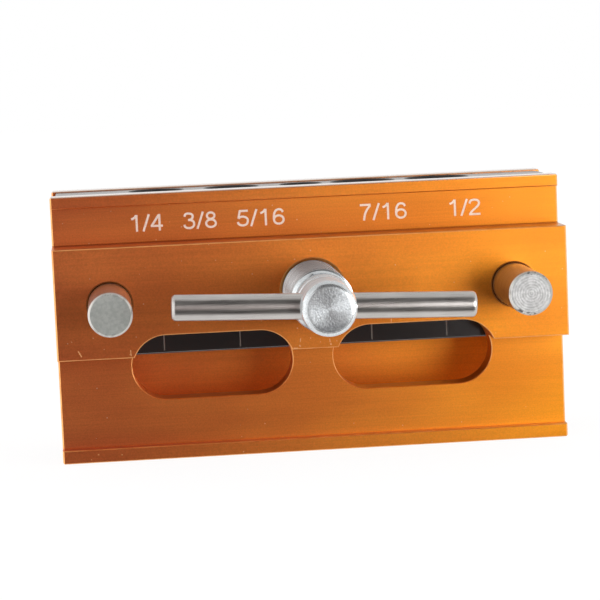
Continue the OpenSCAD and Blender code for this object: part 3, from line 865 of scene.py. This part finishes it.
# floor, background and light
studio = {
    "floorColour": "#f4f4f4",
    "floorShade": "#f1f1f1",
    "floorCloudMm": 60.0,
    "floorHalf": 3.0,
    "floorPoints": 25,
    "floorHeight": -0.0002,           # just below the feet
    "floorWhite": 1.08,
    "floorShown": 0.86,               # share of the plain white in what the camera sees of the floor
    # name, place in metres, side of the square, power
    "lamps": [
        ("nearPanel", (0.30, -0.55, 0.08), 0.3, 1.15),
        ("middlePanel", (0.42, -0.42, 0.08), 0.35, 0.8),
        ("farPanel", (1.0, -0.55, 0.10), 0.5, 4.9),
    ],
    "aim": (0.0, 0.0, 0.04),
    "front": (-0.08, -0.99, 0.11),    # towards the photographer
    "right": (0.997, -0.08, 0.0),
    "frontZone": (0.3, 0.5),          # how far towards the photographer the front of the room starts
    "aroundLevel": 0.9,               # white surroundings beside and behind
    "ceilingLevel": 0.68,
    "ceilingZone": (0.3, 0.8),
    "leftLevel": 0.95,                # tall white wall to the left of the photographer
    "leftEdge": (-0.45, -0.28),
    "leftMore": 0.45,                 # more light straight from the left
    "leftMoreZone": (-0.95, -0.65),
    "gapLevel": 0.02,                 # dark room round the photographer
    "gapColour": "#ffebe8",           # which is a little pink
    "centreLevel": 0.35,
    "centreZone": (0.90, 0.985),
}
pureWhite = [1, 1, 1, 1]


def buildFloor():
    # matt paper, shown to the camera as nearly all white so that only the deep shadow stays on it, and
    # left out of reflections
    o = studio
    material, tree, place = startMaterial("paleFloor")[:3]
    soft = addNode(tree, "TexNoise", in0=place, scale=perMm(o["floorCloudMm"]))
    shade, pale = linear(o["floorShade"]), linear(o["floorColour"])
    paper = addNode(tree, "Mix", colourMix, in0=soft, in6=shade, in7=pale)
    matt = addNode(tree, "BsdfPrincipled", baseColor=paper, roughness=0.9)
    light = addNode(tree, "LightPath")
    seen = addNode(tree, "Math", times, in0=light.outputs["Is Camera Ray"], in1=o["floorShown"])
    white = addNode(tree, "Emission", color=pureWhite, strength=o["floorWhite"])
    mixed = addNode(tree, "MixShader", in0=seen, in1=matt, in2=white)
    clear = addNode(tree, "BsdfTransparent")
    shown = addNode(tree, "MixShader", in0=light.outputs["Is Glossy Ray"], in1=mixed, in2=clear)
    addNode(tree, "OutputMaterial", surface=shown)

    across = np.linspace(-o["floorHalf"], o["floorHalf"], o["floorPoints"])
    x, y = np.meshgrid(across, across, indexing="ij")
    points = np.stack([x, y, np.full_like(x, o["floorHeight"])], -1).reshape(-1, 3)
    quads = gridQuads(o["floorPoints"], o["floorPoints"])
    mesh = bpy.data.meshes.new("studioFloor")
    mesh.from_pydata(points.tolist(), [], quads[:, ::-1].tolist())
    mesh.materials.append(material)
    floor = bpy.data.objects.new("studioFloor", mesh)
    bpy.context.scene.collection.objects.link(floor)


def buildLamps():
    for name, place, side, power in studio["lamps"]:
        data = bpy.data.lights.new(name, "AREA")
        data.shape = "SQUARE"
        data.size = side
        data.energy = power
        lamp = bpy.data.objects.new(name, data)
        lamp.location = place
        aim = np.array(studio["aim"]) - np.array(place)
        tilt = math.acos(-aim[2] / np.linalg.norm(aim))
        lamp.rotation_euler = (tilt, 0, math.atan2(aim[1], aim[0]) - math.pi / 2)
        bpy.context.scene.collection.objects.link(lamp)


def buildRoom():
    # white seen straight on; round the object a white room, whose front is dark round the photographer
    # and white again far to the left
    o = studio
    world = bpy.data.worlds.new("studioRoom")
    world.use_nodes = True
    bpy.context.scene.world = world
    tree = world.node_tree
    tree.nodes.clear()
    light = addNode(tree, "LightPath")
    direction = addNode(tree, "TexCoord").outputs["Generated"]
    front = np.array(o["front"]) / np.linalg.norm(o["front"])
    facing = addNode(tree, "VectorMath", dotProduct, in0=direction, in1=front.tolist()).outputs["Value"]
    sideways = addNode(tree, "VectorMath", dotProduct, in0=direction, in1=o["right"]).outputs["Value"]
    upward = addNode(tree, "SeparateXYZ", in0=direction).outputs[2]

    leftGiving = giving((o["leftLevel"] - o["gapLevel"], 0.0))
    onLeft = addNode(tree, "MapRange", smoothRange, in0=sideways, **reading(o["leftEdge"]), **leftGiving)
    centreGiving = giving((o["gapLevel"], o["gapLevel"] + o["centreLevel"]))
    centre = addNode(tree, "MapRange", smoothRange, in0=facing, **reading(o["centreZone"]), **centreGiving)
    inFront = addNode(tree, "Math", plus, in0=onLeft, in1=centre)
    frontShare = addNode(tree, "MapRange", smoothRange, in0=facing, **reading(o["frontZone"]))
    roundGiving = giving((o["aroundLevel"], o["ceilingLevel"]))
    around = addNode(tree, "MapRange", smoothRange, in0=upward, **reading(o["ceilingZone"]), **roundGiving)
    level = addNode(tree, "Mix", in0=frontShare, in2=around, in3=inFront)
    farGiving = giving((o["leftMore"], 0.0))
    farLeft = addNode(tree, "MapRange", smoothRange, in0=sideways, **reading(o["leftMoreZone"]), **farGiving)
    strength = addNode(tree, "Math", plus, in0=level, in1=farLeft)
    inGap = addNode(tree, "MapRange", smoothRange, in0=sideways, **reading(o["leftEdge"]))
    tintShare = addNode(tree, "Math", times, in0=frontShare, in1=inGap)
    tint = addNode(tree, "Mix", colourMix, in0=tintShare, in6=pureWhite, in7=linear(o["gapColour"]))
    room = addNode(tree, "Background", color=tint, strength=strength)
    white = addNode(tree, "Background", color=pureWhite, strength=1.0)
    both = addNode(tree, "MixShader", in0=light.outputs["Is Camera Ray"], in1=room, in2=white)
    addNode(tree, "OutputWorld", surface=both)


buildFloor()
buildLamps()
buildRoom()
print("studio lit")
